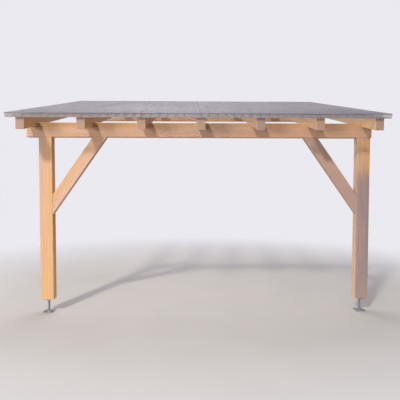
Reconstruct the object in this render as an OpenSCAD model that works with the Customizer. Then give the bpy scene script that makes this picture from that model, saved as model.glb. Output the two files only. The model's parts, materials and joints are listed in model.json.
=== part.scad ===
// Lean-to pergola: two front posts, one beam, rafters on a wall ledger and a roof of hollow panels.
// Millimetres. +X runs along the wall to the right, +Y points into the wall, +Z is up.
// The origin is the middle of the ledger's wall face.

/* [Overall] */
// Length of the front beam
beam_len = 4255; // [3000:5:5200]
// Plan depth from the wall to the front edge of the roof panels
roof_depth = 3500; // [2500:5:4300]
// Clear height from the ground to the underside of the beam
headroom = 2185; // [1950:5:2700]
// Slope of the roof in degrees
slope = 11.7; // [6:0.1:18]
// Plan distance from the roof's front edge back to the beam's front face
eave = 470; // [250:5:700]
// Chamfer on the long edges of all timbers
chamfer = 4; // [1:0.5:6]

/* [Posts] */
// Width of a post along the beam
post_w = 160; // [100:1:200]
// Depth of a post, front to back
post_d = 120; // [90:1:160]
// Distance from the beam's left end to the left post
left_post_inset = 145; // [0:5:400]
// Distance from the beam's right end to the right post
right_post_inset = 15; // [0:5:400]
// Gap between the ground and the foot of a post
post_lift = 170; // [80:5:220]

/* [Post bases] */
// Side of the square plate on the ground
foot_plate = 120; // [110:1:200]
// Thickness of the plates
plate_t = 8; // [5:0.5:12]
// Diameter of the threaded rod
rod_d = 27; // [20:1:36]
// Width across the flats of the adjusting nut
nut_af = 41; // [38:1:60]
// Height of the adjusting nut
nut_h = 18; // [10:1:24]
// Side of the square head plate under the post
head_plate = 100; // [80:1:120]
// Distance between neighbouring anchor holes in the foot plate
anchor_pitch = 85; // [70:1:90]
// Diameter of the anchor holes in the foot plate
anchor_hole_d = 12; // [8:0.5:14]

/* [Beam and braces] */
// Height of the beam
beam_h = 175; // [140:1:240]
// Depth of the beam, front to back
beam_d = 120; // [90:1:160]
// Height of a brace, from its middle on the post up to the beam
brace_rise = 830; // [500:5:1100]
// Reach of a brace, from the post to its middle under the beam
brace_run = 585; // [400:5:900]
// Width of a brace across its face
brace_w = 140; // [90:1:180]
// Thickness of a brace, front to back
brace_t = 95; // [60:1:120]
// Distance of a brace's front face behind the front of the beam
brace_setback = 0; // [0:1:20]

/* [Rafters and ledger] */
// Width of a rafter
rafter_w = 95; // [60:1:120]
// Height of a rafter, square to its length
rafter_h = 136; // [110:1:200]
// Distance from the beam's end to the side of the outermost rafter
rafter_inset = 34; // [0:1:150]
// Depth of the rafter notch at the front face of the beam and of the ledger
seat_cut = 40; // [25:1:50]
// Clearance at the upright faces of a notch
notch_gap = 0.5; // [0.2:0.1:2]
// Distance from the wall to the rear end of a rafter
rafter_wall_gap = 5; // [2:1:20]
// Height of the wall ledger
ledger_h = 210; // [150:1:260]
// Thickness of the wall ledger
ledger_t = 80; // [60:1:120]
// Diameter of the anchor holes through the ledger
ledger_hole_d = 13; // [9:0.5:18]

/* [Roof panels] */
// Thickness of a hollow panel
panel_t = 52; // [16:1:60]
// Distance between the upright webs, which each panel rounds to whole cells
web_pitch = 97; // [60:1:150]
// Thickness of a panel's upper and lower skin
skin_t = 2.5; // [1:0.1:4]
// Thickness of the upright webs between the cells
web_t = 2.5; // [1:0.1:4]
// Overhang of the roof past the beam's left end
roof_over_left = 73; // [20:1:200]
// Overhang of the roof past the beam's right end
roof_over_right = 42; // [20:1:200]
// Plan overhang of the panels past the rafters' front ends
panel_lip = 30; // [0:1:80]
// Distance from the wall to the rear edge of the panels
panel_wall_gap = 10; // [3:1:40]
// Gap between a panel and the rafters and between two panels
panel_gap = 0.3; // [0.2:0.1:1]

/* [Hidden] */

rafter_count = 7;
panel_count = rafter_count - 1;
round_fn = 64;
timber_color = "burlywood";
panel_color = "slategray";
steel_color = "silver";
// Extra length that a cutting or cut solid has past each cut
past = 50;

// Plan places, front to back
beam_front = -(roof_depth - eave);
rafter_front = -(roof_depth - panel_lip);
ledger_front = -ledger_t;

// Levels: the ledger sets the rafters, and these set the beam and the ground
ledger_top = ledger_h / 2;
beam_top = ledger_top - (ledger_front - beam_front) * tan(slope);
beam_under = beam_top - beam_h;
ground = beam_under - headroom;
post_foot = ground + post_lift;

// Places along the wall
beam_left = -beam_len / 2;
beam_right = beam_len / 2;
left_post_x = beam_left + left_post_inset + post_w / 2;
right_post_x = beam_right - right_post_inset - post_w / 2;
post_y = beam_front + post_d / 2;
brace_y = beam_front + brace_setback + brace_t / 2;
first_rafter_x = beam_left + rafter_inset + rafter_w / 2;
rafter_step = -2 * first_rafter_x / (rafter_count - 1);
ledger_len = rafter_step * (rafter_count - 1) + rafter_w;

// Panels: the outer ones reach past the beam's ends, and the joints lie over the rafters
roof_left = beam_left - roof_over_left;
roof_right = beam_right + roof_over_right;
panel_len = (roof_depth - panel_wall_gap) / cos(slope);

// Level of the rafters' lower line at a plan place y
function rafter_under(y) = beam_top - seat_cut + (y - beam_front) * tan(slope);
// Level of the rafters' upper face at a plan place y
function rafter_upper(y) = rafter_under(y) + rafter_h / cos(slope);
function rafter_x(index) = first_rafter_x + (index - 1) * rafter_step;

// Rectangle w wide and h high with cut corners, centred on its lower edge
module timber_section(w, h) {
    c = chamfer;
    polygon([
        [-w / 2 + c, 0], [w / 2 - c, 0], [w / 2, c], [w / 2, h - c],
        [w / 2 - c, h], [-w / 2 + c, h], [-w / 2, h - c], [-w / 2, c]
    ]);
}

// Timber that runs along +Y from the origin, standing on its lower face
module timber(w, h, len) {
    rotate([90, 0, 0])
        translate([0, 0, -len])
            linear_extrude(len)
                timber_section(w, h);
}

// Block given by its low and high corners
module block(low, high) {
    translate(low)
        cube(high - low);
}

module post(x) {
    color(timber_color)
        translate([x, beam_front, post_foot])
            linear_extrude(beam_under - post_foot)
                timber_section(post_w, post_d);
}

// Foot plate, threaded rod, adjusting nut and head plate, welded into one piece
module post_base(x) {
    color(steel_color)
        translate([x, post_y, ground]) {
            difference() {
                translate([-foot_plate / 2, -foot_plate / 2, 0])
                    cube([foot_plate, foot_plate, plate_t]);
                for (sx = [-1, 1], sy = [-1, 1])
                    translate([sx * anchor_pitch / 2, sy * anchor_pitch / 2, -past])
                        cylinder(h = 2 * past, d = anchor_hole_d, $fn = round_fn);
            }
            cylinder(h = post_lift - plate_t / 2, d = rod_d, $fn = round_fn);
            translate([0, 0, post_lift - plate_t - nut_h])
                cylinder(h = nut_h + plate_t / 2, d = nut_af / cos(30), $fn = 6);
            translate([-head_plate / 2, -head_plate / 2, post_lift - plate_t])
                cube([head_plate, head_plate, plate_t]);
        }
}

module front_beam() {
    color(timber_color)
        translate([beam_left, beam_front + beam_d / 2, beam_under])
            rotate([0, 0, -90])
                timber(beam_d, beam_h, beam_len);
}

// Knee brace on the post face at x = face; side is 1 where it leans to the right, -1 to the left
module brace(face, side) {
    angle = atan2(brace_rise, brace_run);
    overrun = past + brace_w;
    reach = norm([brace_rise, brace_run]);
    color(timber_color)
        intersection() {
            translate([face, brace_y, beam_under - brace_rise])
                rotate([0, -side * angle, 0])
                    translate([-side * overrun, 0, -brace_w / 2])
                        rotate([0, 0, -side * 90])
                            timber(brace_t, brace_w, reach + 2 * overrun);
            block(
                [side > 0 ? face : face - 2 * brace_run, brace_y - brace_t, post_foot],
                [side > 0 ? face + 2 * brace_run : face, brace_y + brace_t, beam_under]
            );
        }
}

// Rafter with plumb ends, notched over the beam and the ledger
module rafter(index) {
    run = roof_depth + 2 * past;
    x = rafter_x(index);
    color(timber_color)
        difference() {
            intersection() {
                translate([x, -run + past, rafter_under(-run + past)])
                    rotate([slope, 0, 0])
                        translate([0, -past, 0])
                            timber(rafter_w, rafter_h, run / cos(slope) + 2 * past);
                block([x - rafter_w, rafter_front, ground], [x + rafter_w, -rafter_wall_gap, roof_depth]);
            }
            block(
                [x - rafter_w, beam_front - notch_gap, beam_under],
                [x + rafter_w, beam_front + beam_d + notch_gap, beam_top]
            );
            block(
                [x - rafter_w, ledger_front - notch_gap, -ledger_h],
                [x + rafter_w, past, ledger_top]
            );
        }
}

// Ledger with one anchor hole in the middle of each bay
module wall_ledger() {
    color(timber_color)
        difference() {
            translate([-ledger_len / 2, -ledger_t / 2, -ledger_h / 2])
                rotate([0, 0, -90])
                    timber(ledger_t, ledger_h, ledger_len);
            for (bay = [1 : rafter_count - 1])
                translate([rafter_x(bay) + rafter_step / 2, past, 0])
                    rotate([90, 0, 0])
                        cylinder(h = 4 * past, d = ledger_hole_d, $fn = round_fn);
        }
}

// Hollow panel: two skins with upright webs between them, open at the front and the rear
module roof_panel(index) {
    left = index == 1 ? roof_left : rafter_x(index) + panel_gap / 2;
    right = index == panel_count ? roof_right : rafter_x(index + 1) - panel_gap / 2;
    cells = round((right - left) / web_pitch);
    cell_step = (right - left - web_t) / cells;
    color(panel_color)
        translate([left, -roof_depth, rafter_upper(-roof_depth)])
            rotate([90 + slope, 0, 0])
                translate([0, panel_gap, -panel_len])
                    linear_extrude(panel_len)
                        difference() {
                            square([right - left, panel_t]);
                            for (cell = [0 : cells - 1])
                                translate([web_t + cell * cell_step, skin_t])
                                    square([cell_step - web_t, panel_t - 2 * skin_t]);
                        }
}

post(left_post_x);  // left_post
post(right_post_x);  // right_post
post_base(left_post_x);  // left_post_base
post_base(right_post_x);  // right_post_base
front_beam();
brace(left_post_x + post_w / 2, 1);  // left_brace
brace(right_post_x - post_w / 2, -1);  // right_brace
rafter(1);  // rafter_1
rafter(2);  // rafter_2
rafter(3);  // rafter_3
rafter(4);  // rafter_4
rafter(5);  // rafter_5
rafter(6);  // rafter_6
rafter(7);  // rafter_7
wall_ledger();
roof_panel(1);  // roof_panel_1
roof_panel(2);  // roof_panel_2
roof_panel(3);  // roof_panel_3
roof_panel(4);  // roof_panel_4
roof_panel(5);  // roof_panel_5
roof_panel(6);  // roof_panel_6
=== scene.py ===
"""Looks of a lean-to timber pergola, laid out as a Blender add-on around its fixed frame.

Everything is in metres. +X runs along the wall, +Y points into the wall, +Z is up, and the
origin is the middle of the ledger's wall face.
"""

import json
import math
from functools import cache, reduce
from typing import NamedTuple

import bmesh
import bpy
import numpy as np
from mathutils import Matrix, Vector


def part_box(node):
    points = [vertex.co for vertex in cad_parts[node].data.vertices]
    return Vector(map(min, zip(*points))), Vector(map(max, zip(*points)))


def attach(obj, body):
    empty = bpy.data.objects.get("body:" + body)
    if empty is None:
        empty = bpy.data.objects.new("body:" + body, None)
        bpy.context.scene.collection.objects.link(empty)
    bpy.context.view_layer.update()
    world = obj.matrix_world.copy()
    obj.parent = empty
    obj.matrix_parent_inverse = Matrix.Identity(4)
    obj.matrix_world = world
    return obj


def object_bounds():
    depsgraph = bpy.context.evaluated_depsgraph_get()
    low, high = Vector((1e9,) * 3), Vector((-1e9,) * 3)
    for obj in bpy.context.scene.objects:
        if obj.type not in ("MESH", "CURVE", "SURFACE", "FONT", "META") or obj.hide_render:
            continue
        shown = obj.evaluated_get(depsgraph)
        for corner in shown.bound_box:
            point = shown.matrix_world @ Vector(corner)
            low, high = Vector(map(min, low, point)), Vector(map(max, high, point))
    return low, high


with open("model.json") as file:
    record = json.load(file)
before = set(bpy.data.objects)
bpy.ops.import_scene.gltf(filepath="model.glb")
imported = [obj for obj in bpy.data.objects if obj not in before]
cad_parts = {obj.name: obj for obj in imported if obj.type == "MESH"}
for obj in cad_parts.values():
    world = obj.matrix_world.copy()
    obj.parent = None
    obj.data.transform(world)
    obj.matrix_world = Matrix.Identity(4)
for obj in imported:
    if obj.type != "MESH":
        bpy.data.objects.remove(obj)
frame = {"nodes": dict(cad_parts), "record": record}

bl_info = {
    "name": "Lean-to Pergola Looks",
    "version": (1, 0, 0),
    "blender": (4, 5, 0),
    "location": "View3D > Sidebar > Pergola",
    "description": "Finishes and fixings of a lean-to timber pergola with a roof of hollow panels",
    "category": "Object",
}

CAD_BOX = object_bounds()
BODY = "root"
MM = 0.001

POSTS = ("left_post", "right_post")
BRACES = ("left_brace", "right_brace")
RAFTERS = tuple(f"rafter_{index}" for index in range(1, 8))
PANELS = tuple(f"roof_panel_{index}" for index in range(1, 7))
BASES = ("left_post_base", "right_post_base")
BEAM = "front_beam"
LEDGER = "wall_ledger"
GROUND = CAD_BOX[0].z


# ------------------------ places read from the frame


def corners(node):
    """Vertices of a CAD node as an array of points."""
    mesh = frame["nodes"][node].data
    points = np.zeros(len(mesh.vertices) * 3)
    mesh.vertices.foreach_get("co", points)
    return points.reshape(-1, 3)


def middle(node):
    """Centre of a CAD node's box."""
    low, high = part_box(node)
    return (low + high) / 2


def extent(node):
    """Width, depth and height of a CAD node's box."""
    low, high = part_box(node)
    return high - low


def levels(node):
    """The heights at which a CAD node has corners, from the lowest up."""
    return sorted(set(np.round(corners(node)[:, 2], 5)))


def mount(name):
    """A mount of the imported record."""
    return next(given for given in frame["record"]["mounts"] if given["name"] == name)


def roof_slope():
    """Angle of a rafter's upper edge above the horizontal."""
    points = corners(RAFTERS[0])
    front, rear = points[:, 1].min(), points[:, 1].max()
    front_top, rear_top = (points[abs(points[:, 1] - end) < MM][:, 2].max() for end in (front, rear))
    return math.atan2(rear_top - front_top, rear - front)


SLOPE = roof_slope()
UPHILL = Vector((0, math.cos(SLOPE), math.sin(SLOPE)))
ROOF_UP = Vector((0, -math.sin(SLOPE), math.cos(SLOPE)))


def on_roof(x, along, up):
    """A point from its place along the wall, its distance uphill and its height off the roof plane."""
    return Vector((x, 0, 0)) + float(along) * UPHILL + float(up) * ROOF_UP


def roof_places(nodes):
    """How far right, how far uphill and how high off the roof plane the corners of nodes are."""
    points = np.concatenate([corners(node) for node in nodes])
    return points[:, 0], points @ np.array(UPHILL), points @ np.array(ROOF_UP)


def brace_foot(node):
    """Where a brace's upper edge meets the post, and its angle above the horizontal."""
    points = corners(node)
    post_x = max(points[:, 0], key=lambda x: abs(x - middle(BEAM).x))
    on_post = points[abs(points[:, 0] - post_x) < MM]
    on_beam = points[points[:, 2] > points[:, 2].max() - MM]
    run = abs(on_beam[:, 0] - post_x).min()
    rise = on_beam[0, 2] - on_post[:, 2].max()
    return Vector((post_x, middle(node).y, on_post[:, 2].max())), math.atan2(rise, run)


# ------------------------ settings


def color_property(name, description, default):
    return bpy.props.FloatVectorProperty(
        name=name, description=description, default=default, subtype="COLOR", size=3, min=0, max=2
    )


def value_property(name, description, default, lowest=0, **rest):
    return bpy.props.FloatProperty(
        name=name, description=description, default=default, min=lowest, **rest
    )


def length_property(name, description, default, highest=1.0):
    return value_property(
        name, description, default, subtype="DISTANCE", unit="LENGTH", max=highest, precision=4
    )


def angle_property(name, description, degrees):
    return value_property(
        name, description, math.radians(degrees), -math.pi, subtype="ANGLE", unit="ROTATION"
    )


def factor_property(name, description, default):
    return value_property(name, description, default, subtype="FACTOR", max=1)


def power_property(name, description, default):
    return value_property(name, description, default, unit="POWER")


def count_property(name, description, default):
    return bpy.props.IntProperty(name=name, description=description, default=default, min=1, max=64)


class PergolaTimberSettings(bpy.types.PropertyGroup):
    """Finish of the timbers"""

    pale: color_property("Pale Stain", "Early wood under a thin honey stain", (0.78, 0.485, 0.235))
    rosy: color_property("Rosy Stain", "Wood that took the stain rosy", (0.76, 0.485, 0.375))
    golden: color_property("Golden Stain", "Bands that took the stain golden", (0.79, 0.45, 0.175))
    dark: color_property("Late Wood", "Dark lines of the late wood", (0.52, 0.26, 0.10))
    knot: color_property("Knots", "Colour of the knots", (0.27, 0.11, 0.04))
    worn: color_property("Worn Edge", "Arrises where the stain has worn thin", (0.84, 0.64, 0.44))
    end_grain: color_property("End Grain", "Sawn ends, which took more stain", (0.37, 0.255, 0.22))
    # Painted shade: this lilac, greyish tint darkens the front faces of some timbers to stand for the
    # shade that falls on them.
    weathered: color_property("Weathered", "Wood that the weather has greyed", (0.285, 0.235, 0.260))
    ring_width: length_property("Ring Width", "Width of one growth ring", 0.0042, 0.02)
    knot_spacing: length_property("Knot Spacing", "Size of the patches that may hold a knot", 0.15, 1.0)
    knot_radius: length_property("Knot Radius", "Radius of an ordinary knot", 0.013, 0.05)
    lamellas: count_property("Lamellas", "Boards glued together in a post or in the beam", 4)
    board_length: length_property("Board Length", "Distance between finger joints", 1.65, 10.0)


class PergolaRoofSettings(bpy.types.PropertyGroup):
    """Hollow roof panels and their fixings"""

    tint: color_property("Panel Tint", "Smoke tint of the translucent panels", (0.235, 0.208, 0.243))
    # Darker tint laid over the panels towards their front, less at the left end.
    silt: color_property("Silt", "Grey film that rain leaves towards the front", (0.13, 0.115, 0.125))
    clear: factor_property("Straight Opacity", "Light that a skin stops where seen square on", 0.13)
    slant: factor_property("Slant Opacity", "Further light that it stops where seen at a slant", 0.62)
    shadow: factor_property("Shadow Opacity", "Light that a skin keeps from what lies below", 0.07)
    strip: color_property("End Strip Tint", "Milky tint of the panels' end strips", (0.515, 0.455, 0.470))
    strip_opacity: factor_property("End Strip Opacity", "Light that an end strip stops", 0.33)
    # Painted shade: the strip's rounded upper edge and lip are darker and less clear than its face, for
    # the shadow along the top edge.
    nose: color_property("Nose Tint", "Grey tint of an end strip's upper edge", (0.27, 0.262, 0.30))
    nose_opacity: factor_property("Nose Opacity", "Light that an end strip's upper edge stops", 0.70)
    nose_depth: length_property("Nose Depth", "Height of an end strip's rounded upper edge", 0.012, 0.04)
    strip_reach: length_property("End Strip Reach", "Lap of an end strip over the skins", 0.018, 0.05)
    strip_wall: length_property("End Strip Wall", "Thickness of an end strip", 0.0014, 0.004)
    screw_rows: count_property("Screw Rows", "Screws along each rafter", 6)
    screw_margin: length_property("Screw Margin", "Outer screws to the panels' ends", 0.12, 0.5)
    screw_radius: length_property("Screw Radius", "Radius of a roof screw's shank", 0.0032, 0.01)


class PergolaStageSettings(bpy.types.PropertyGroup):
    """Floor, lights and camera"""

    floor: color_property("Floor", "Colour of the floor", (0.60, 0.58, 0.56))
    backdrop: color_property("Backdrop", "Colour that is seen behind the pergola", (0.83, 0.82, 0.87))
    sky: color_property("Sky", "Tint of the even light from all around", (0.95, 0.94, 1.02))
    sun: color_property("Sun", "Tint of the two lights at the front left", (1.0, 0.95, 0.86))
    key_power: power_property("Key Light", "Power of the far high light, which casts the shadows", 470)
    key_spread: angle_property("Key Spread", "Angle over which the far high light fans out", 58)
    side_power: power_property("Side Light", "Power of the wide low light, which softens them", 1640)
    top_power: power_property("Top Light", "Power of the soft light over the roof", 415)
    fill: value_property("Fill", "Strength of the even light from all around", 0.41)
    eye_height: length_property("Eye Height", "Height of the camera above the ground", 1.670, 10.0)
    distance: length_property("Distance", "Camera in front of the roof's front edge", 5.111, 50.0)
    aside: length_property("Aside", "Camera to the left of the ledger's middle", 0.1204, 10.0)
    turn: angle_property("Turn", "Turn of the camera to the right", 1.193)
    tilt: angle_property("Tilt", "Downward tilt of the camera", 2.658)
    roll: angle_property("Roll", "Turn of the camera about its own axis", 0.077)
    lens: value_property("Lens", "Focal length in millimetres", 40.58, 10, unit="CAMERA")
    sensor: value_property("Sensor", "Width of the sensor in millimetres", 36, 10, unit="CAMERA")


def timber():
    return bpy.context.scene.pergola_timber


def roof():
    return bpy.context.scene.pergola_roof


def stage():
    return bpy.context.scene.pergola_stage


# ------------------------ shader node helpers


class Wiring:
    """Adds shader nodes to a tree and links them."""

    def __init__(self, tree):
        self.tree = tree

    def feed(self, socket, value):
        """Links a socket to another, or sets its own value."""
        if isinstance(value, bpy.types.NodeSocket):
            self.tree.links.new(value, socket)
        elif socket.type == "RGBA":
            socket.default_value = (*value, 1.0)
        else:
            socket.default_value = value

    def node(self, kind, inputs=(), **settings):
        """A shader node with its settings and what feeds its inputs, in their order or by name."""
        made = self.tree.nodes.new("ShaderNode" + kind)
        for name, value in settings.items():
            setattr(made, name, value)
        for name, value in inputs.items() if isinstance(inputs, dict) else enumerate(inputs):
            self.feed(made.inputs[name], value)
        return made

    def math(self, operation, *values, clamp=False):
        return self.node("Math", values, operation=operation, use_clamp=clamp).outputs[0]

    def plus(self, *values):
        """Sum of values."""
        return reduce(lambda total, value: self.math("ADD", total, value), values)

    def times(self, *values):
        """Product of values."""
        return reduce(lambda total, value: self.math("MULTIPLY", total, value), values)

    def vector(self, operation, *values):
        made = self.node("VectorMath", values, operation=operation)
        return made.outputs["Value" if operation in ("LENGTH", "DOT_PRODUCT") else "Vector"]

    def ramp(self, value, low, high, at_low=0.0, at_high=1.0):
        """Smooth step of a value between low and high."""
        inputs = (value, low, high, at_low, at_high)
        return self.node("MapRange", inputs, interpolation_type="SMOOTHSTEP").outputs[0]

    def mix(self, factor, first, second):
        """Colour between two others; 6, 7 and 2 are the colour sockets of the node."""
        return self.node("Mix", {"Factor": factor, 6: first, 7: second}, data_type="RGBA").outputs[2]

    def cover(self, color, *layers):
        """Lays colours over a first one, each by its mask and its strength."""
        for mask, strength, other in layers:
            color = self.mix(self.times(mask, strength), color, other)
        return color

    def noise(self, vector, scale, detail=2.0):
        return self.node("TexNoise", {"Vector": vector, "Scale": scale, "Detail": detail}).outputs["Fac"]

    def cells(self, vector, scale):
        """Random cells: their distances and colours."""
        return self.node("TexVoronoi", {"Vector": vector, "Scale": scale}).outputs

    def stretch(self, vector, x, y, z):
        return self.vector("MULTIPLY", vector, (x, y, z))

    def split(self, vector):
        return tuple(self.node("SeparateXYZ", (vector,)).outputs)

    def join(self, *parts):
        return self.node("CombineXYZ", parts).outputs[0]

    def bump(self, height, strength, distance):
        inputs = {"Strength": strength, "Distance": distance, "Height": height}
        return self.node("Bump", inputs).outputs["Normal"]

    def effect(self, make, vector, **values):
        """Places a shared effect at a vector and feeds its other inputs by name."""
        inputs = {label(name): value for name, value in values.items()}
        return self.node("Group", {"Vector": vector, **inputs}, node_tree=effect(make)).outputs

    def give(self, results):
        """Ends a shared effect with named outputs."""
        add_sockets(self.tree, results, "OUTPUT")
        end = self.tree.nodes.new("NodeGroupOutput")
        for name, value in results.items():
            self.feed(end.inputs[name], value)
        return self.tree

    def surface(self, inputs):
        """Ends a material with a Principled shader."""
        shader = self.node("BsdfPrincipled", inputs)
        self.node("OutputMaterial", {"Surface": shader.outputs[0]})


SOCKET_KINDS = {"Vector": "Vector", "Pith": "Vector", "Axis": "Vector", "Color": "Color"}


def label(name):
    """The label of a socket, from a name such as knot_radius."""
    return name.replace("_", " ").title()


def add_sockets(tree, labels, side):
    """Named sockets on one side of a node group."""
    for text in labels:
        kind = "NodeSocket" + SOCKET_KINDS.get(text, "Float")
        tree.interface.new_socket(text, in_out=side, socket_type=kind)


def new_group(name, *inputs):
    """An empty shader node group: its wiring, its vector and then each of its named inputs."""
    tree = bpy.data.node_groups.new(name, "ShaderNodeTree")
    labels = ["Vector", *map(label, inputs)]
    add_sockets(tree, labels, "INPUT")
    given = tree.nodes.new("NodeGroupInput").outputs
    return Wiring(tree), *(given[text] for text in labels)


# ------------------------ shared effects


class Stain(NamedTuple):
    """How a timber took its stain, and where light and shade are painted on it.

    Rosy, painted left light and painted front shade are shares of 1, and places are metres from the
    timber's middle. The golden band lies across the timber and climbs along it by its slope. The front
    shade is painted shade, a lilac tint on the faces that look to the front over a stretch along the
    timber, and the painted left light is a paler tint on the faces that look left, where light falls.
    """

    rosy: float
    golden_start: float = 9
    golden_full: float = 10
    golden_slope: float = 0
    bleached: float = 0
    grey: float = 0
    grey_middle: float = 0
    grey_full: float = 0
    grey_faded: float = 1


def board_layout():
    """Glued timber: each lamella and each finger-jointed board has a grain and tone of its own."""
    w, spot, lamellas, height, length, seed = new_group(
        "Board Layout", "lamellas", "board_height", "board_length", "seed"
    )
    x, y, z = w.split(spot)
    row = w.plus(w.math("DIVIDE", z, height), w.times(lamellas, 0.5))
    lamella = w.math("FLOOR", row)
    own_start = {"Vector": w.join(lamella, seed, 0.0)}
    start = w.node("TexWhiteNoise", own_start, noise_dimensions="2D").outputs["Value"]
    teeth = w.times(w.math("PINGPONG", y, 0.0019), 5.0)
    shifted = w.plus(x, teeth, w.times(start, 7.0))
    column = w.plus(w.math("DIVIDE", shifted, length), 0.5)
    own_board = {"Vector": w.join(lamella, w.math("FLOOR", column), seed)}
    chance = w.node("TexWhiteNoise", own_board, noise_dimensions="3D").outputs["Color"]
    tone, rosy, _ = w.split(chance)
    centred = w.times(w.plus(w.math("FRACT", row), -0.5), height)
    shift = w.stretch(w.vector("SUBTRACT", chance, (0.5, 0.5, 0.5)), 9.0, 0.09, 0.05)
    below_top = w.math("LESS_THAN", row, w.plus(lamellas, -0.1))
    inside = w.times(w.math("GREATER_THAN", row, 0.1), below_top)
    from_line = w.times(w.math("PINGPONG", row, 0.5), height)
    from_end = w.times(w.math("PINGPONG", column, 0.5), length)
    line = w.ramp(from_line, 0.3 * MM, 1.0 * MM, 1.0, 0.0)
    end = w.ramp(from_end, 0.2 * MM, 0.8 * MM, 0.7, 0.0)
    return w.give({
        "Vector": w.vector("ADD", w.join(x, y, centred), shift),
        "Tone": tone,
        "Rosy": rosy,
        "Joint": w.math("MAXIMUM", w.times(line, inside), end),
    })


def softwood_grain():
    """Growth rings about a pith beside the board, and knots that grow out from it."""
    w, spot, pith, ring_width, knot_spacing, knot_radius = new_group(
        "Softwood Grain", "pith", "ring_width", "knot_spacing", "knot_radius"
    )
    wander = w.times(w.plus(w.noise(w.stretch(spot, 0.7, 2.0, 2.0), 1.0), -0.5), 0.10)
    x, y, z = w.split(w.vector("SUBTRACT", spot, pith))
    y = w.plus(y, wander)
    radius = w.math("SQRT", w.plus(w.times(y, y), w.times(z, z)))
    reach = w.math("DIVIDE", 0.10, knot_spacing)
    around = w.join(
        w.math("DIVIDE", x, knot_spacing),
        w.times(w.math("DIVIDE", y, radius), reach),
        w.times(w.math("DIVIDE", z, radius), reach),
    )
    cells = w.cells(around, 1.0)
    chance, growth, _ = w.split(cells["Color"])
    size = w.times(knot_radius, w.plus(w.times(growth, 0.8), 0.5))
    near = w.math("DIVIDE", w.times(cells["Distance"], knot_spacing), size)
    grown = w.math("GREATER_THAN", chance, 0.975)
    halo = w.times(w.ramp(near, 0.8, 2.6, 1.0, 0.0), grown)
    ripple = w.times(w.plus(w.noise(w.stretch(spot, 3.0, 14.0, 14.0), 1.0), -0.5), 0.012)
    rings = w.math("DIVIDE", w.plus(radius, ripple, w.times(halo, 0.010)), ring_width)
    within = w.math("FRACT", rings)
    year = w.node("TexWhiteNoise", {"W": w.math("FLOOR", rings)}, noise_dimensions="1D").outputs["Value"]
    late = w.times(w.ramp(within, 0.35, 0.88), w.ramp(within, 0.93, 1.0, 1.0, 0.0))
    return w.give({
        "Late Wood": w.times(late, w.plus(w.times(year, 0.6), 0.4)),
        "Knot": w.times(w.ramp(near, 0.75, 1.05, 1.0, 0.0), grown),
        "Halo": halo,
    })


def fibre_streaks():
    """Broad streaks, fine fibres and clouds along a timber."""
    w, spot, streaks, fineness = new_group("Fibre Streaks", "streaks", "fineness")
    broad = w.noise(w.stretch(spot, 0.05, 1.0, 1.0), streaks, 3.0)
    cloud = w.noise(w.stretch(spot, 0.8, 1.6, 1.6), 2.2, 3.0)
    return w.give({
        "Broad": w.ramp(broad, 0.36, 0.64),
        "Fine": w.noise(w.stretch(spot, 0.03, 1.0, 1.0), fineness, 3.0),
        "Cloud": w.ramp(cloud, 0.38, 0.66),
    })


def stain_bands():
    """Masks of where a timber took its stain rosy or golden, and of its painted light and painted shade.

    Streaks and the blush of single boards vary the rosy stain. The faces that look left get painted
    light, a paler tint, and there the golden band is weaker by the same share. The faces that look to
    the front get painted shade over a stretch along the timber.
    """
    w, spot, streak, blush, *inputs = new_group("Stain Bands", "streak", "blush", *Stain._fields)
    stain = Stain(*inputs)
    along, _, across = w.split(spot)
    right, rear, _ = w.split(w.node("NewGeometry").outputs["Normal"])
    level = w.math("SUBTRACT", across, w.times(along, stain.golden_slope))
    band = w.ramp(w.plus(level, w.times(streak, 0.015)), stain.golden_start, stain.golden_full)
    # Painted light: the faces that look left are paled, as if lit from that side.
    bleached = w.times(w.ramp(right, -0.9, -0.3, 1.0, 0.0), stain.bleached)
    # Painted shade: over a stretch along the timber, the faces that look to the front are tinted as if in
    # shade.
    wavering = w.plus(along, w.times(streak, 0.15))
    offset = w.math("ABSOLUTE", w.math("SUBTRACT", wavering, stain.grey_middle))
    stretch = w.ramp(offset, stain.grey_full, stain.grey_faded, 1.0, 0.0)
    return w.give({
        "Rosy": w.math("ADD", w.plus(streak, blush), stain.rosy, clamp=True),
        "Golden": w.times(band, w.math("SUBTRACT", 1.0, bleached)),
        "Bleached": bleached,
        # Grey is the mask of that painted shade.
        "Grey": w.times(stretch, w.ramp(rear, -0.9, -0.3, 1.0, 0.0), stain.grey),
    })


def rain_runs():
    """Marks that rain leaves down the slope."""
    w, spot, length, scale = new_group("Rain Runs", "length", "scale")
    along = w.math("DIVIDE", 1.0, length)
    drawn_out = w.vector("MULTIPLY", spot, w.join(1.0, along, along))
    runs = w.noise(drawn_out, scale, 3.0)
    return w.give({"Runs": runs, "Stained": w.ramp(runs, 0.44, 0.72)})


def edge_wear():
    """Mask of the outer edges, broken up by a noise."""
    w, spot, radius, breakup = new_group("Edge Wear", "radius", "breakup")
    rounded = w.node("Bevel", {"Radius": radius}, samples=6).outputs["Normal"]
    flat = w.node("NewGeometry").outputs["True Normal"]
    edge = w.ramp(w.vector("DOT_PRODUCT", rounded, flat), 0.90, 0.995, 1.0, 0.0)
    patches = w.ramp(w.noise(spot, breakup, 4.0), 0.38, 0.62)
    return w.give({"Wear": w.times(edge, patches)})


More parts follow.
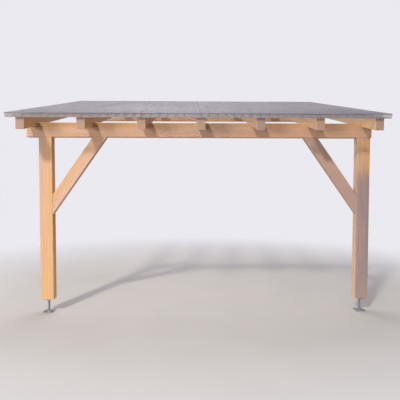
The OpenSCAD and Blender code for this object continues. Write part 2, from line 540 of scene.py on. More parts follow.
def dust_and_crevice_shade():
    """Dust on faces that look up, and painted shade in crevices where ambient occlusion finds them,
    broken up in patches like dirt.
    """
    w, spot, scale, reach = new_group("Settled Dust", "scale", "reach")
    up = w.split(w.node("NewGeometry").outputs["Normal"])[2]
    patches = w.noise(spot, scale, 5.0)
    # Painted shade: ambient occlusion darkens the crevices.
    shelter = w.node("AmbientOcclusion", {"Distance": reach}, samples=6).outputs["AO"]
    closed = w.ramp(shelter, 0.35, 0.95, 1.0, 0.0)
    return w.give({
        "Dust": w.times(w.ramp(up, 0.2, 0.95), w.ramp(patches, 0.30, 0.75)),
        "Crevice_Shade_And_Dirt": w.times(closed, w.ramp(patches, 0.25, 0.65)),
    })


def cut_ends():
    """Mask of the faces sawn across a timber, with their saw marks."""
    w, spot, axis = new_group("Cut Ends", "axis")
    flat = w.node("NewGeometry").outputs["True Normal"]
    cut = w.ramp(w.math("ABSOLUTE", w.vector("DOT_PRODUCT", flat, axis)), 0.45, 0.60)
    marks = w.noise(w.stretch(spot, 0.0, 0.1, 1.0), 420.0)
    return w.give({"Cut": cut, "Saw Marks": w.times(marks, cut)})


def zinc_spangle():
    """Spangle and white rust of hot-dip galvanised steel."""
    w, spot, scale = new_group("Zinc Spangle", "scale")
    bright, rough, high = w.split(w.cells(spot, scale)["Color"])
    rust = w.ramp(w.noise(spot, 38.0, 6.0), 0.50, 0.72)
    clean = w.mix(bright, (0.30, 0.32, 0.35), (0.44, 0.465, 0.50))
    return w.give({
        "Color": w.mix(rust, clean, (0.66, 0.67, 0.68)),
        "Roughness": w.plus(w.times(rough, 0.16), w.times(rust, 0.30), 0.34),
        "Height": w.plus(w.times(high, 0.4), rust),
    })


@cache
def effect(make):
    """A shared node group, made the first time that it is asked for."""
    return make()


# ------------------------ materials


def new_material(name):
    """An empty material: the material, its wiring and its object coordinates."""
    material = bpy.data.materials.new(name)
    material.use_nodes = True
    material.node_tree.nodes.clear()
    w = Wiring(material.node_tree)
    return material, w, w.node("TexCoord").outputs["Object"]


def stain_timber(node, stain, seed, pith, tilt=0, heading=0, glued=None):
    """Gives a timber its planed and stained softwood, whose grain follows it.

    The timber's axis is tilt above the horizontal and turned by heading from +X, and the pith is
    given from its middle. A glued timber gives its height across the lamellas.
    """
    look = timber()
    material, w, spot = new_material("stained_" + node)
    placed = {"Vector": spot, "Location": middle(node), "Rotation": (0, -tilt, heading)}
    own = w.node("Mapping", placed, vector_type="TEXTURE").outputs["Vector"]
    axis = (math.cos(tilt) * math.cos(heading), math.cos(tilt) * math.sin(heading), math.sin(tilt))
    if glued:
        lamellas, board_height, board_length = look.lamellas, glued / look.lamellas, look.board_length
        blush, toned, jointed, groove = 0.7, 0.22, 0.55, -0.8
    else:
        # One board without joints, far larger than any timber.
        lamellas, board_height, board_length = 1, 4.0, 400.0
        blush, toned, jointed, groove = 0.0, 0.0, 0.0, 0.0
    layout = w.effect(
        board_layout, own, lamellas=lamellas, board_height=board_height, board_length=board_length,
        seed=seed,
    )
    place = w.vector("ADD", layout["Vector"], (seed * 1.7, 0, 0))
    grain = w.effect(
        softwood_grain, place, pith=pith, ring_width=look.ring_width,
        knot_spacing=look.knot_spacing, knot_radius=look.knot_radius,
    )
    fibre = w.effect(fibre_streaks, place, streaks=24.0, fineness=330.0)
    wear = w.effect(edge_wear, own, radius=0.007, breakup=9.0)
    dust_and_shade = w.effect(dust_and_crevice_shade, own, scale=6.0, reach=0.035)
    cuts = w.effect(cut_ends, own, axis=axis)
    streak = w.times(w.plus(fibre["Broad"], -0.5), 0.9)
    board_blush = w.times(w.plus(layout["Rosy"], -0.3), blush)
    bands = w.effect(stain_bands, own, streak=streak, blush=board_blush, **stain._asdict())
    color = w.cover(
        w.mix(bands["Rosy"], look.pale, look.rosy),
        (bands["Golden"], 0.78, look.golden),
        (layout["Tone"], toned, look.dark),
        (fibre["Cloud"], 0.12, look.dark),
        (fibre["Broad"], 0.15, look.dark),
        # Painted light: the faces that look left are paled with the worn colour, as if lit.
        (bands["Bleached"], 0.52, look.worn),
        (grain["Late Wood"], 0.60, look.dark),
        (w.ramp(fibre["Fine"], 0.45, 0.75), 0.22, look.dark),
        (grain["Halo"], 0.35, look.dark),
        (grain["Knot"], 0.85, look.knot),
        (layout["Joint"], jointed, look.knot),
        (cuts["Cut"], 0.80, look.end_grain),
        # Painted shade: a lilac tint on the faces that look to the front, as if in shade.
        (w.ramp(fibre["Cloud"], 0.0, 1.0, 0.8, 1.0), bands["Grey"], look.weathered),
        (wear["Wear"], 0.55, look.worn),
        (dust_and_shade["Dust"], 0.25, (0.55, 0.52, 0.48)),
        # Painted shade in crevices, partly dirt.
        (dust_and_shade["Crevice_Shade_And_Dirt"], 0.30, (0.20, 0.13, 0.08)),
    )
    rough = w.plus(
        w.times(fibre["Fine"], 0.22), w.times(cuts["Cut"], 0.22), w.times(dust_and_shade["Dust"], 0.15), 0.40,
        w.times(grain["Knot"], -0.10),
    )
    relief = w.plus(
        w.times(grain["Late Wood"], 0.5), w.times(fibre["Fine"], 0.5), w.times(cuts["Saw Marks"], 0.8),
        w.times(layout["Joint"], groove),
    )
    w.surface({
        "Base Color": color,
        "Roughness": rough,
        "Normal": w.bump(relief, 0.35, 0.8 * MM),
        "Coat Weight": 0.12,
        "Coat Roughness": 0.35,
    })
    finish(node, material)


def zinc_material(name, spangle):
    """Hot-dip galvanised steel."""
    material, w, own = new_material(name)
    zinc = w.effect(zinc_spangle, own, scale=spangle)
    wear = w.effect(edge_wear, own, radius=0.002, breakup=60.0)
    dust_and_shade = w.effect(dust_and_crevice_shade, own, scale=30.0, reach=0.02)
    color = w.cover(
        zinc["Color"],
        (wear["Wear"], 0.5, (0.72, 0.73, 0.75)),
        (dust_and_shade["Dust"], 0.5, (0.42, 0.38, 0.34)),
        # Painted shade in crevices, partly dirt.
        (dust_and_shade["Crevice_Shade_And_Dirt"], 0.6, (0.24, 0.20, 0.17)),
    )
    w.surface({
        "Base Color": color,
        "Roughness": w.plus(zinc["Roughness"], w.times(dust_and_shade["Dust"], 0.25)),
        "Metallic": w.plus(w.times(dust_and_shade["Dust"], -0.6), 0.95),
        "Normal": w.bump(zinc["Height"], 0.25, 0.5 * MM),
    })
    return material


def panel_material(name):
    """Smoke tinted translucent plastic, clear where it is seen square on, with rain marks."""
    look = roof()
    material, w, own = new_material(name)
    dust_and_shade = w.effect(dust_and_crevice_shade, w.stretch(own, 1.0, 0.12, 0.12), scale=18.0, reach=0.05)
    rain = w.effect(rain_runs, own, length=50.0, scale=70.0)
    deep = tuple(channel * 0.80 for channel in look.tint)
    across, uphill, _ = w.split(own)
    # The panels are darker towards the front, and less so at the left end.
    left, front = CAD_BOX[0].xy
    from_front = w.ramp(uphill, front, front + 0.9, 0.55, 0.0)
    darkened_front = w.times(from_front, w.ramp(across, left, left + 0.5, 0.2, 1.0))
    color = w.cover(
        w.mix(w.ramp(w.noise(own, 1.3, 3.0), 0.35, 0.65), deep, look.tint),
        (rain["Stained"], 0.10, (0.40, 0.385, 0.39)),
        (darkened_front, 1.0, look.silt),
        # Painted shade in crevices, partly dirt.
        (dust_and_shade["Crevice_Shade_And_Dirt"], 0.5, (0.16, 0.145, 0.14)),
        (dust_and_shade["Dust"], 0.14, (0.42, 0.40, 0.395)),
    )
    grazing = w.node("LayerWeight", {"Blend": 0.5}).outputs["Facing"]
    slant = w.times(w.ramp(grazing, 0.55, 0.95), look.slant)
    dirt = w.plus(w.times(dust_and_shade["Dust"], 0.08), w.times(rain["Stained"], 0.05))
    seen = w.math("ADD", w.plus(slant, dirt), look.clear, clamp=True)
    spared = w.times(w.node("LightPath").outputs["Is Shadow Ray"], w.plus(seen, -look.shadow))
    w.surface({
        "Base Color": color,
        "Roughness": w.plus(w.times(rain["Runs"], 0.12), w.times(dust_and_shade["Dust"], 0.15), 0.34),
        "Alpha": w.math("SUBTRACT", seen, spared),
        "Normal": w.bump(rain["Runs"], 0.10, 0.3 * MM),
    })
    return material


def strip_material(name, tint, opacity):
    """Plastic of the end strips, with dirt washed down from the panels."""
    material, w, own = new_material(name)
    dust_and_shade = w.effect(dust_and_crevice_shade, own, scale=24.0, reach=0.03)
    rain = w.effect(rain_runs, own, length=5.0, scale=45.0)
    color = w.cover(
        tint,
        (rain["Stained"], 0.20, (0.20, 0.18, 0.17)),
        (dust_and_shade["Dust"], 0.4, (0.42, 0.40, 0.39)),
        # Painted shade in crevices, partly dirt.
        (dust_and_shade["Crevice_Shade_And_Dirt"], 0.5, (0.14, 0.125, 0.12)),
    )
    dirt = w.plus(w.times(rain["Stained"], 0.06), w.times(dust_and_shade["Dust"], 0.2))
    w.surface({
        "Base Color": color,
        "Roughness": w.plus(w.times(rain["Runs"], 0.25), 0.35),
        "Alpha": w.math("ADD", dirt, opacity, clamp=True),
        "Normal": w.bump(rain["Runs"], 0.15, 0.4 * MM),
    })
    return material


def rubber_material(name):
    """Dark rubber of the sealing washers, aged by the weather."""
    material, w, own = new_material(name)
    dust_and_shade = w.effect(dust_and_crevice_shade, own, scale=40.0, reach=0.02)
    mottle = w.noise(own, 160.0, 3.0)
    clean = w.mix(w.ramp(mottle, 0.3, 0.7), (0.16, 0.155, 0.165), (0.24, 0.235, 0.245))
    w.surface({
        "Base Color": w.cover(clean, (dust_and_shade["Dust"], 0.5, (0.45, 0.43, 0.42))),
        "Roughness": w.plus(w.times(mottle, 0.25), 0.5),
        "Normal": w.bump(mottle, 0.2, 0.4 * MM),
    })
    return material


def floor_material(name):
    """Plain pale floor with a faint mottle, which fades into the backdrop far away.

    From below it isn't seen, so that it doesn't hide the underside of the roof.
    """
    material, w, own = new_material(name)
    black = (0.0, 0.0, 0.0)
    worn = tuple(channel * 0.97 for channel in stage().floor)
    near_color = w.mix(w.ramp(w.noise(own, 1.5, 4.0), 0.3, 0.7), worn, stage().floor)
    far = w.ramp(w.vector("LENGTH", own), 2.4, 6.5)
    seen = w.times(far, w.node("LightPath").outputs["Is Camera Ray"])
    w.surface({
        "Base Color": w.mix(far, near_color, black),
        "Emission Color": w.mix(seen, black, stage().backdrop),
        "Emission Strength": 1.0,
        "Specular IOR Level": 0.0,
        "Roughness": 0.9,
        "Alpha": w.math("SUBTRACT", 1.0, w.node("NewGeometry").outputs["Backfacing"]),
    })
    return material


def finish(node, material):
    """Gives a CAD node its material."""
    for slot in frame["nodes"][node].material_slots:
        slot.material = material


# ------------------------ mesh helpers


def new_object(name, data):
    """A new object in the scene."""
    made = bpy.data.objects.new(name, data)
    bpy.context.scene.collection.objects.link(made)
    return made


def new_mesh_object(name, builder, materials):
    """A new object made from a bmesh, which is freed."""
    mesh = bpy.data.meshes.new(name)
    builder.to_mesh(mesh)
    builder.free()
    for material in materials:
        mesh.materials.append(material)
    return new_object(name, mesh)


def add_piece(name, builder, materials):
    """A new piece that rides on the pergola, from a bmesh in the frame's own metres."""
    builder.normal_update()
    piece = new_mesh_object(name, builder, materials)
    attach(piece, BODY)


def square(half_x, half_y):
    """Steps from a middle to four corners."""
    return [(x, y) for x in (-half_x, half_x) for y in (-half_y, half_y)]


def facing(place, direction, spin=0.0):
    """Matrix that puts a fixing at a place with its +Z along a direction."""
    turn = Vector(direction).to_track_quat("Z", "Y").to_matrix().to_4x4()
    return Matrix.Translation(place) @ turn @ Matrix.Rotation(spin, 4, "Z")


def raised(matrix, height):
    """A fixing's matrix, moved along its axis."""
    return matrix @ Matrix.Translation((0, 0, height))


def bridge(builder, first, second):
    """Faces between two rings of corners, either of which may be a single point."""
    sides = max(len(first), len(second))
    faces = []
    for side in range(sides):
        after = (side + 1) % sides
        around = ((first, side), (first, after), (second, after), (second, side))
        loop = [ring[step % len(ring)] for ring, step in around]
        faces.append(builder.faces.new(list(dict.fromkeys(loop))))
    return faces


def lathe(builder, matrix, profile, sides=16, slot=0, smooth=True, ripple=None):
    """Closed solid: turns a profile of (radius, height) pairs about a fixing's axis.

    A radius of 0 is allowed at either end, and ripple gives each side its own share of the radius.
    """
    rings = []
    for radius, height in profile:
        ring = []
        for side in range(sides if radius else 1):
            angle = 2 * math.pi * side / sides
            own = radius * (ripple[side] if ripple else 1)
            spot = Vector((own * math.cos(angle), own * math.sin(angle), height))
            ring.append(builder.verts.new(matrix @ spot))
        rings.append(ring)
    faces = []
    for lower, upper in zip(rings, rings[1:]):
        faces += bridge(builder, lower, upper)
    for face in faces:
        face.smooth = smooth
    for end in (rings[0][::-1], rings[-1]):
        if len(end) > 1:
            faces.append(builder.faces.new(end))
    for face in faces:
        face.material_index = slot


def hexagon(builder, matrix, across, height):
    """Six-sided head or nut with its upper corners turned off."""
    corner = across / math.sqrt(3)
    profile = ((corner, 0), (corner, height * 0.86), (across * 0.48, height))
    lathe(builder, matrix, profile, sides=6, smooth=False)


def washer(builder, matrix, radius, height, slot=0):
    """Round washer with broken edges."""
    rim = radius * 0.97
    profile = ((rim, 0), (radius, height * 0.25), (radius, height * 0.75), (rim, height))
    lathe(builder, matrix, profile, sides=24, slot=slot)


def anchor(builder, place, direction, rod, spin):
    """Washer, nut and threaded end of an anchor with a given rod diameter."""
    at = facing(place, direction, spin)
    washer_height, nut_height = rod * 0.22, rod * 0.8
    washer(builder, at, rod, washer_height)
    nut = raised(at, washer_height)
    hexagon(builder, nut, rod * 1.55, nut_height)
    end = ((rod * 0.49, 0), (rod * 0.49, rod * 0.45), (rod * 0.4, rod * 0.55), (0, rod * 0.55))
    lathe(builder, raised(nut, nut_height), end, sides=12)


def plate_screw(builder, place, direction, radius=8 * MM):
    """Low round screw head with a socket, almost flush with the timber."""
    rim = radius * 0.9
    profile = (
        (rim, -0.5 * MM), (radius, 0.2 * MM), (rim, 1.2 * MM), (radius * 0.45, 1.8 * MM),
        (radius * 0.40, 0.6 * MM), (0, 0.6 * MM),
    )
    lathe(builder, facing(place, direction), profile)


# ------------------------ operators


class PERGOLA_OT_posts(bpy.types.Operator):
    """Stain the two posts, each glued from upright lamellas"""

    bl_idname = "pergola.posts"
    bl_label = "Posts"

    def execute(self, context):
        width, _, height = extent(POSTS[0])
        # The right post gets painted shade on its front over all but its top and painted light on the
        # face that looks left, and it is rosier than the left post.
        stains = (
            Stain(rosy=0.10, golden_start=-0.10 * width, golden_full=-0.50 * width),
            Stain(
                rosy=0.85, golden_start=0.40 * width, golden_full=-0.45 * width, bleached=0.8,
                grey=0.90, grey_middle=-height / 2, grey_full=height - 0.50, grey_faded=height - 0.30,
            ),
        )
        for node, seed, stain in zip(POSTS, (3.0, 5.0), stains):
            stain_timber(node, stain, seed, (0, 0, 0.07), tilt=math.pi / 2, glued=width)
        return {"FINISHED"}


class PERGOLA_OT_beam(bpy.types.Operator):
    """Stain the front beam, glued from flat lamellas"""

    bl_idname = "pergola.beam"
    bl_label = "Front Beam"

    def execute(self, context):
        height = extent(BEAM).z
        # A stretch of the beam's front right of its middle gets a light painted shade.
        stain = Stain(
            rosy=0.88, golden_start=0.06 * height, golden_full=0.42 * height, golden_slope=0.014,
            grey=0.22, grey_middle=0.20, grey_full=0.15, grey_faded=0.85,
        )
        stain_timber(BEAM, stain, 17.0, (0, 0, 0.07), glued=height)
        return {"FINISHED"}


class PERGOLA_OT_braces(bpy.types.Operator):
    """Stain the two knee braces, with the grain along them"""

    bl_idname = "pergola.braces"
    bl_label = "Knee Braces"

    def execute(self, context):
        # Both braces get painted shade on their fronts, the right one far more.
        stains = (
            Stain(rosy=0.95, golden_start=0.07, golden_full=0.10, grey=0.10, grey_full=2, grey_faded=3),
            Stain(rosy=0.95, grey=0.52, grey_full=2, grey_faded=3),
        )
        for index, (node, stain) in enumerate(zip(BRACES, stains)):
            foot, angle = brace_foot(node)
            tilt = angle if foot.x < middle(BEAM).x else math.pi - angle
            stain_timber(node, stain, 11.0 + index, (0, 0.09, 0.03), tilt=tilt)
        return {"FINISHED"}


class PERGOLA_OT_rafters(bpy.types.Operator):
    """Stain the rafters, each with a grain of its own, paint light on their faces that look left, and
    paint shade on the fronts of two
    """

    bl_idname = "pergola.rafters"
    bl_label = "Rafters"

    def execute(self, context):
        # Painted shade on the fronts of these two rafters; every rafter also gets painted light on its
        # face that looks left.
        front_shades = {"rafter_4": 0.15, "rafter_5": 0.65}
        for index, node in enumerate(RAFTERS):
            stain = Stain(
                rosy=0.45, golden_start=-0.09, golden_full=0.02, bleached=0.9,
                grey=front_shades.get(node, 0.0), grey_full=9, grey_faded=10,
            )
            side = 1 if index % 2 else -1
            pith = (0, side * 0.06, 0.05 - 0.02 * (index % 3))
            stain_timber(node, stain, 20.0 + index, pith, tilt=SLOPE, heading=math.pi / 2)
        return {"FINISHED"}


class PERGOLA_OT_ledger(bpy.types.Operator):
    """Stain the wall ledger"""

    bl_idname = "pergola.ledger"
    bl_label = "Wall Ledger"

    def execute(self, context):
        stain_timber(LEDGER, Stain(rosy=0.2), 31.0, (0, 0.11, -0.02))
        return {"FINISHED"}


class PERGOLA_OT_post_bases(bpy.types.Operator):
    """Galvanise the post bases and add their threads, welds, screws and anchors"""

    bl_idname = "pergola.post_bases"
    bl_label = "Post Bases"

    def execute(self, context):
        zinc = zinc_material("galvanised_base", 110.0)
        for node, side in zip(BASES, ("left", "right")):
            finish(node, zinc)
            _, plate_top, nut_bottom = levels(node)[:3]
            head_bottom, head_top = levels(node)[-2:]
            points = corners(node)
            centre = middle(node)
            shaft = points[abs(points[:, 2] - nut_bottom) < 0.1 * MM]
            rod = np.hypot(shaft[:, 0] - centre.x, shaft[:, 1] - centre.y).min()
            head = points[abs(points[:, 2] - head_top) < 0.1 * MM]
            builder = bmesh.new()
            self.thread(builder, Vector((centre.x, centre.y, 0)), rod, plate_top, nut_bottom)
            self.weld(builder, Vector((centre.x, centre.y, plate_top)), rod)
            inset = (head[:, 0].max() - centre.x) * 0.68
            washer_height = 1.6 * MM
            for x, y in square(inset, inset):
                place = Vector((centre.x + x, centre.y + y, head_bottom))
                at = facing(place, (0, 0, -1), 1.3 * x / inset + 0.4 * y / inset)
                washer(builder, at, 9 * MM, washer_height)
                hexagon(builder, raised(at, washer_height), 13 * MM, 5.5 * MM)
            holes = mount(side + "_base_anchors")["dims"]
            for x, y in square(holes["spacing_x_mm"] * MM / 2, holes["spacing_y_mm"] * MM / 2):
                place = Vector((centre.x + x, centre.y + y, plate_top))
                anchor(builder, place, (0, 0, 1), 10 * MM, 9.0 * x + 5.0 * y)
            add_piece(f"{side}_base_fixings", builder, [zinc])
        return {"FINISHED"}

    @staticmethod
    def thread(builder, axis, rod, low, high, pitch=3.5 * MM, sides=20):
        """Helical ridge round the rod between two levels."""
        turns = (high - low) / pitch
        steps = int(turns * sides)
        rows = []
        for step in range(steps + 1):
            angle = 2 * math.pi * step / sides
            fade = min(1, step / sides, (steps - step) / sides)
            level = low + (high - low) * step / steps
            row = []
            for radius, offset in ((-0.4, -0.5), (1.0 * fade, -0.1), (1.0 * fade, 0.1), (-0.4, 0.5)):
                reach = rod + radius * 1.1 * MM
                z = min(max(level + offset * pitch, low), high)
                spot = axis + Vector((reach * math.cos(angle), reach * math.sin(angle), z))
                row.append(builder.verts.new(spot))
            rows.append(row)
        for first, second in zip(rows, rows[1:]):
            for part in range(4):
                after = (part + 1) % 4
                builder.faces.new((first[part], second[part], second[after], first[after]))
        builder.faces.new(rows[0])
        builder.faces.new(rows[-1][::-1])

    @staticmethod
    def weld(builder, place, rod):
        """Rippled bead where the rod stands on its plate."""
        sides = 40
        ripple = [1 + 0.022 * math.sin(side * 2.6) for side in range(sides)]
        bead = 5 * MM
        profile = (
            (rod + bead, -0.3 * MM), (rod + bead * 0.95, bead * 0.3), (rod + bead * 0.6, bead * 0.75),
            (rod + bead * 0.2, bead), (rod * 0.8, bead),
        )
        lathe(builder, Matrix.Translation(place), profile, sides=sides, ripple=ripple)


class PERGOLA_OT_roof_panels(bpy.types.Operator):
    """Give the hollow roof panels their translucent plastic"""

    bl_idname = "pergola.roof_panels"
    bl_label = "Roof Panels"

    def execute(self, context):
        plastic = panel_material("smoke_plastic")
        for node in PANELS:
            finish(node, plastic)
        return {"FINISHED"}


class PERGOLA_OT_end_strips(bpy.types.Operator):
    """Close both ends of every panel with a strip that laps over its skins"""

    bl_idname = "pergola.end_strips"
    bl_label = "End Strips"

    def execute(self, context):
        look = roof()
        builder = bmesh.new()
        for node in PANELS:
            across, uphill, up = roof_places([node])
            sides = across.min(), across.max()
            self.strip(builder, sides, uphill.min(), 1, up.min(), up.max(), look.strip_reach)
            self.strip(builder, sides, uphill.max(), -1, up.min(), up.max(), 0)
        bmesh.ops.recalc_face_normals(builder, faces=builder.faces)
        materials = [
            strip_material("milky_strip", look.strip, look.strip_opacity),
            # The nose's darker tint is painted shade along the strip's top edge.
            strip_material("shaded_nose", look.nose, look.nose_opacity),
        ]
        add_piece("end_strips", builder, materials)
        return {"FINISHED"}

    @staticmethod
    def strip(builder, sides, end, inward, low, high, lower_reach):
        """A strip across one end of a panel, its lips pointing inward along the slope.

        Where the rafters leave no room for the lower lip, its reach is 0.
        """
        look = roof()
        wall, reach = look.strip_wall, look.strip_reach
        fit = 0.05 * MM
        top, bottom = high + fit, low - fit
        ridge = high - look.nose_depth
        nose = 2.5 * wall
        foot, inner_foot = (bottom - wall, bottom) if lower_reach else (low, low)
        outer = (
            (-fit - wall, foot), (-fit - wall, ridge), (-fit - nose, ridge + nose),
            (-fit - nose, top - wall), (-fit - 0.5 * nose, top + 0.7 * wall), (0, top + wall),
            (reach, top + wall),
        )
        inner = ((reach, top), (-fit, top), (-fit, ridge), (-fit, inner_foot))
        lower = ((lower_reach, bottom), (lower_reach, foot)) if lower_reach else ()
        profile = outer + inner + lower
        rings = []
        for x in sides:
            spots = [on_roof(x, end + inward * along, up) for along, up in profile]
            rings.append([builder.verts.new(spot) for spot in spots])
        for index, face in enumerate(bridge(builder, *rings)):
            face.material_index = 1 if 1 <= index < len(outer) else 0
        wall_part = (0, 1, 9, *range(10, len(profile)))
        nose_part, lip_part = (1, 2, 3, 4, 8, 9), (4, 5, 6, 7, 8)
        for ring in rings:
            for part in (wall_part, nose_part, lip_part):
                cap = builder.faces.new([ring[corner] for corner in part])
                cap.material_index = 0 if part is wall_part else 1


class PERGOLA_OT_roof_screws(bpy.types.Operator):
    """Screw the panels to the rafters, with a sealing washer under each head"""

    bl_idname = "pergola.roof_screws"
    bl_label = "Roof Screws"

    def execute(self, context):
        look = roof()
        _, uphill, up = roof_places(PANELS)
        first, last = uphill.min() + look.screw_margin, uphill.max() - look.screw_margin
        builder = bmesh.new()
        for node in RAFTERS:
            for along in np.linspace(first, last, look.screw_rows):
                top = on_roof(middle(node).x, along, up.max())
                self.screw(builder, top, up.max() - up.min(), 7 * along)
        materials = [zinc_material("zinc_roof_screws", 260.0), rubber_material("dark_rubber")]
        add_piece("roof_screws", builder, materials)
        return {"FINISHED"}

    @staticmethod
    def screw(builder, top, depth, spin):
        """Shank through the panel, rubber washer, steel washer and hexagon head."""
        at = facing(top, ROOF_UP, spin)
        shank = roof().screw_radius
        rubber, steel = 2.2 * MM, 1.0 * MM
        lathe(builder, at, ((0, -depth), (shank, 1.5 * shank - depth), (shank, 1 * MM)), sides=10)
        washer(builder, at, 11 * MM, rubber, slot=1)
        washer(builder, raised(at, rubber), 10 * MM, steel)
        hexagon(builder, raised(at, rubber + steel), 8 * MM, 4.5 * MM)


class PERGOLA_OT_timber_screws(bpy.types.Operator):
    """Screw the braces, the posts and the rafters to what they rest on"""

    bl_idname = "pergola.timber_screws"
    bl_label = "Timber Screws"

    def execute(self, context):
        builder = bmesh.new()
        self.brace_screws(builder)
        self.post_screws(builder)
        self.rafter_screws(builder)
        add_piece("timber_screws", builder, [zinc_material("zinc_timber_screws", 200.0)])
        return {"FINISHED"}

    @staticmethod
    def brace_screws(builder):
        """Two heads near each end of a brace, on its lower edge."""
        for node in BRACES:
            foot, angle = brace_foot(node)
            side = 1 if foot.x < middle(BEAM).x else -1
            points = corners(node)
            foot_low = min(points[abs(points[:, 0] - foot.x) < MM][:, 2])
            head_far = max(abs(points[:, 0] - foot.x))
            along = Vector((side * math.cos(angle), 0, math.sin(angle)))
            out = Vector((side * math.sin(angle), 0, -math.cos(angle)))
            start = Vector((foot.x, foot.y, foot_low))
            length = head_far / math.cos(angle)
            inset, half_step = 0.07, 0.022
            for distance in (inset, length - inset):
                for aside in (-half_step, half_step):
                    plate_screw(builder, start + along * distance + Vector((0, aside, 0)), out)

    @staticmethod
    def post_screws(builder):
        """Heads on both sides of a post just under the beam."""
        under_beam = 0.055
        for node in POSTS:
            low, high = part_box(node)
            for x, side in ((low.x, -1), (high.x, 1)):
                for share in (0.3, 0.7):
                    y = low.y + (high.y - low.y) * share
                    plate_screw(builder, Vector((x, y, high.z - under_beam)), (side, 0, 0), 7 * MM)

    @staticmethod
    def rafter_screws(builder):
        """A head on each side of a rafter over the beam and over the ledger."""
        stagger, lift = 0.018, 0.035
        for node in RAFTERS:
            low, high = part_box(node)
            for seat in (BEAM, LEDGER):
                seat_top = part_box(seat)[1].z
                for x, side in ((low.x, -1), (high.x, 1)):
                    place = Vector((x, middle(seat).y + side * stagger, seat_top + lift))
                    plate_screw(builder, place, (side, 0, 0), 7 * MM)


class PERGOLA_OT_ledger_anchors(bpy.types.Operator):
    """Bolt the ledger to the wall through its holes"""

    bl_idname = "pergola.ledger_anchors"
    bl_label = "Ledger Anchors"

    def execute(self, context):
        builder = bmesh.new()
        low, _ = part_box(LEDGER)
        for name in ("inner", "middle", "outer"):
            holes = mount(f"ledger_anchors_{name}")
            across, _, up = holes["pos_m"]
            for side in (-1, 1):
                x = across + side * holes["dims"]["spacing_x_mm"] * MM / 2
                anchor(builder, Vector((x, low.y, up)), (0, -1, 0), 12 * MM, x * 5)
        add_piece("ledger_anchors", builder, [zinc_material("zinc_anchors", 180.0)])
        return {"FINISHED"}


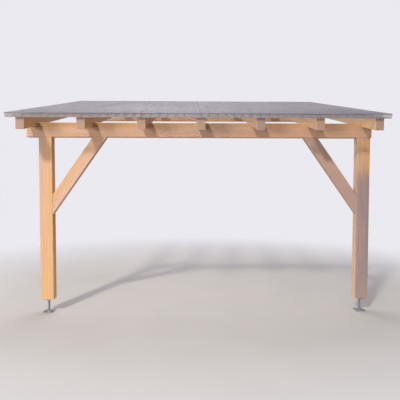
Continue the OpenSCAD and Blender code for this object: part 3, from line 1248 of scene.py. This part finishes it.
class PERGOLA_OT_stage(bpy.types.Operator):
    """Make the floor, the soft lights and the camera"""

    bl_idname = "pergola.stage"
    bl_label = "Stage"

    def execute(self, context):
        look = stage()
        self.floor()
        lights = (
            ("key_light", 2.6, look.key_power, look.sun, (-9.5, -23.0, 17.5), (-1.2, -3.0, 1.5)),
            ("side_light", 6.0, look.side_power, look.sun, (-12.0, -19.5, 2.4), (1.0, -2.6, 2.2)),
            ("top_light", 5.0, look.top_power, look.sky, (-0.8, -0.3, 8.6), (0.0, -1.6, -GROUND)),
        )
        for name, size, power, color, place, target in lights:
            self.light(name, size, power, color, place, target)
        bpy.data.lights["key_light"].spread = look.key_spread
        self.backdrop()
        self.camera(context.scene)
        return {"FINISHED"}

    @staticmethod
    def floor():
        """A round floor at the posts' feet, wide enough to fade out before its edge."""
        builder = bmesh.new()
        bmesh.ops.create_circle(builder, cap_ends=True, segments=96, radius=60)
        floor = new_mesh_object("floor", builder, [floor_material("pale_floor")])
        floor.location = (0, middle(LEDGER).y + CAD_BOX[0].y / 2, GROUND)

    @staticmethod
    def light(name, size, power, color, place, target):
        """A round area light aimed at a target, both with their heights above the ground."""
        data = bpy.data.lights.new(name, "AREA")
        data.shape = "DISK"
        data.size = size
        data.energy = power
        data.color = color
        lamp = new_object(name, data)
        lamp.location = Vector(place) + Vector((0, 0, GROUND))
        lamp.rotation_euler = (Vector(target) - Vector(place)).to_track_quat("-Z", "Y").to_euler()
        lamp.visible_camera = False

    @staticmethod
    def backdrop():
        """Even fill light, with a paler backdrop where the camera looks past the pergola."""
        look = stage()
        world = bpy.data.worlds.new("studio")
        bpy.context.scene.world = world
        world.use_nodes = True
        world.node_tree.nodes.clear()
        w = Wiring(world.node_tree)
        fill = w.node("Background", {"Color": look.sky, "Strength": look.fill})
        seen = w.node("Background", {"Color": look.backdrop})
        camera_ray = w.node("LightPath").outputs["Is Camera Ray"]
        pick = w.node("MixShader", (camera_ray, fill.outputs[0], seen.outputs[0]))
        w.node("OutputWorld", {"Surface": pick.outputs[0]})
        bpy.context.scene.view_settings.view_transform = "Standard"

    @staticmethod
    def camera(scene):
        """The camera, placed and aimed by the settings."""
        look = stage()
        data = bpy.data.cameras.new("camera")
        data.sensor_width = look.sensor
        data.lens = look.lens
        camera = new_object("camera", data)
        place = Vector((-look.aside, CAD_BOX[0].y - look.distance, GROUND + look.eye_height))
        aim = Matrix.Rotation(-look.turn, 4, "Z") @ Matrix.Rotation(math.pi / 2 - look.tilt, 4, "X")
        camera.matrix_world = Matrix.Translation(place) @ aim @ Matrix.Rotation(look.roll, 4, "Z")
        scene.camera = camera


# ------------------------ add-on

STEPS = (
    PERGOLA_OT_stage,
    PERGOLA_OT_posts,
    PERGOLA_OT_beam,
    PERGOLA_OT_braces,
    PERGOLA_OT_rafters,
    PERGOLA_OT_ledger,
    PERGOLA_OT_post_bases,
    PERGOLA_OT_roof_panels,
    PERGOLA_OT_end_strips,
    PERGOLA_OT_roof_screws,
    PERGOLA_OT_timber_screws,
    PERGOLA_OT_ledger_anchors,
)
SETTINGS = {
    "pergola_timber": PergolaTimberSettings,
    "pergola_roof": PergolaRoofSettings,
    "pergola_stage": PergolaStageSettings,
}


class PERGOLA_PT_panel(bpy.types.Panel):
    """Steps and settings of the pergola's looks"""

    bl_idname = "PERGOLA_PT_panel"
    bl_label = "Pergola"
    bl_space_type = "VIEW_3D"
    bl_region_type = "UI"
    bl_category = "Pergola"

    def draw(self, context):
        for step in STEPS:
            self.layout.operator(step.bl_idname)
        for name, group in SETTINGS.items():
            box = self.layout.box()
            for setting in group.__annotations__:
                box.prop(getattr(context.scene, name), setting)


def register():
    for group in (*SETTINGS.values(), *STEPS, PERGOLA_PT_panel):
        bpy.utils.register_class(group)
    for name, group in SETTINGS.items():
        setattr(bpy.types.Scene, name, bpy.props.PointerProperty(type=group))


def unregister():
    for name in SETTINGS:
        delattr(bpy.types.Scene, name)
    for group in (PERGOLA_PT_panel, *reversed(STEPS), *SETTINGS.values()):
        bpy.utils.unregister_class(group)


def main():
    register()
    for step in STEPS:
        family, name = step.bl_idname.split(".")
        getattr(getattr(bpy.ops, family), name)()


if __name__ == "__main__":
    main()
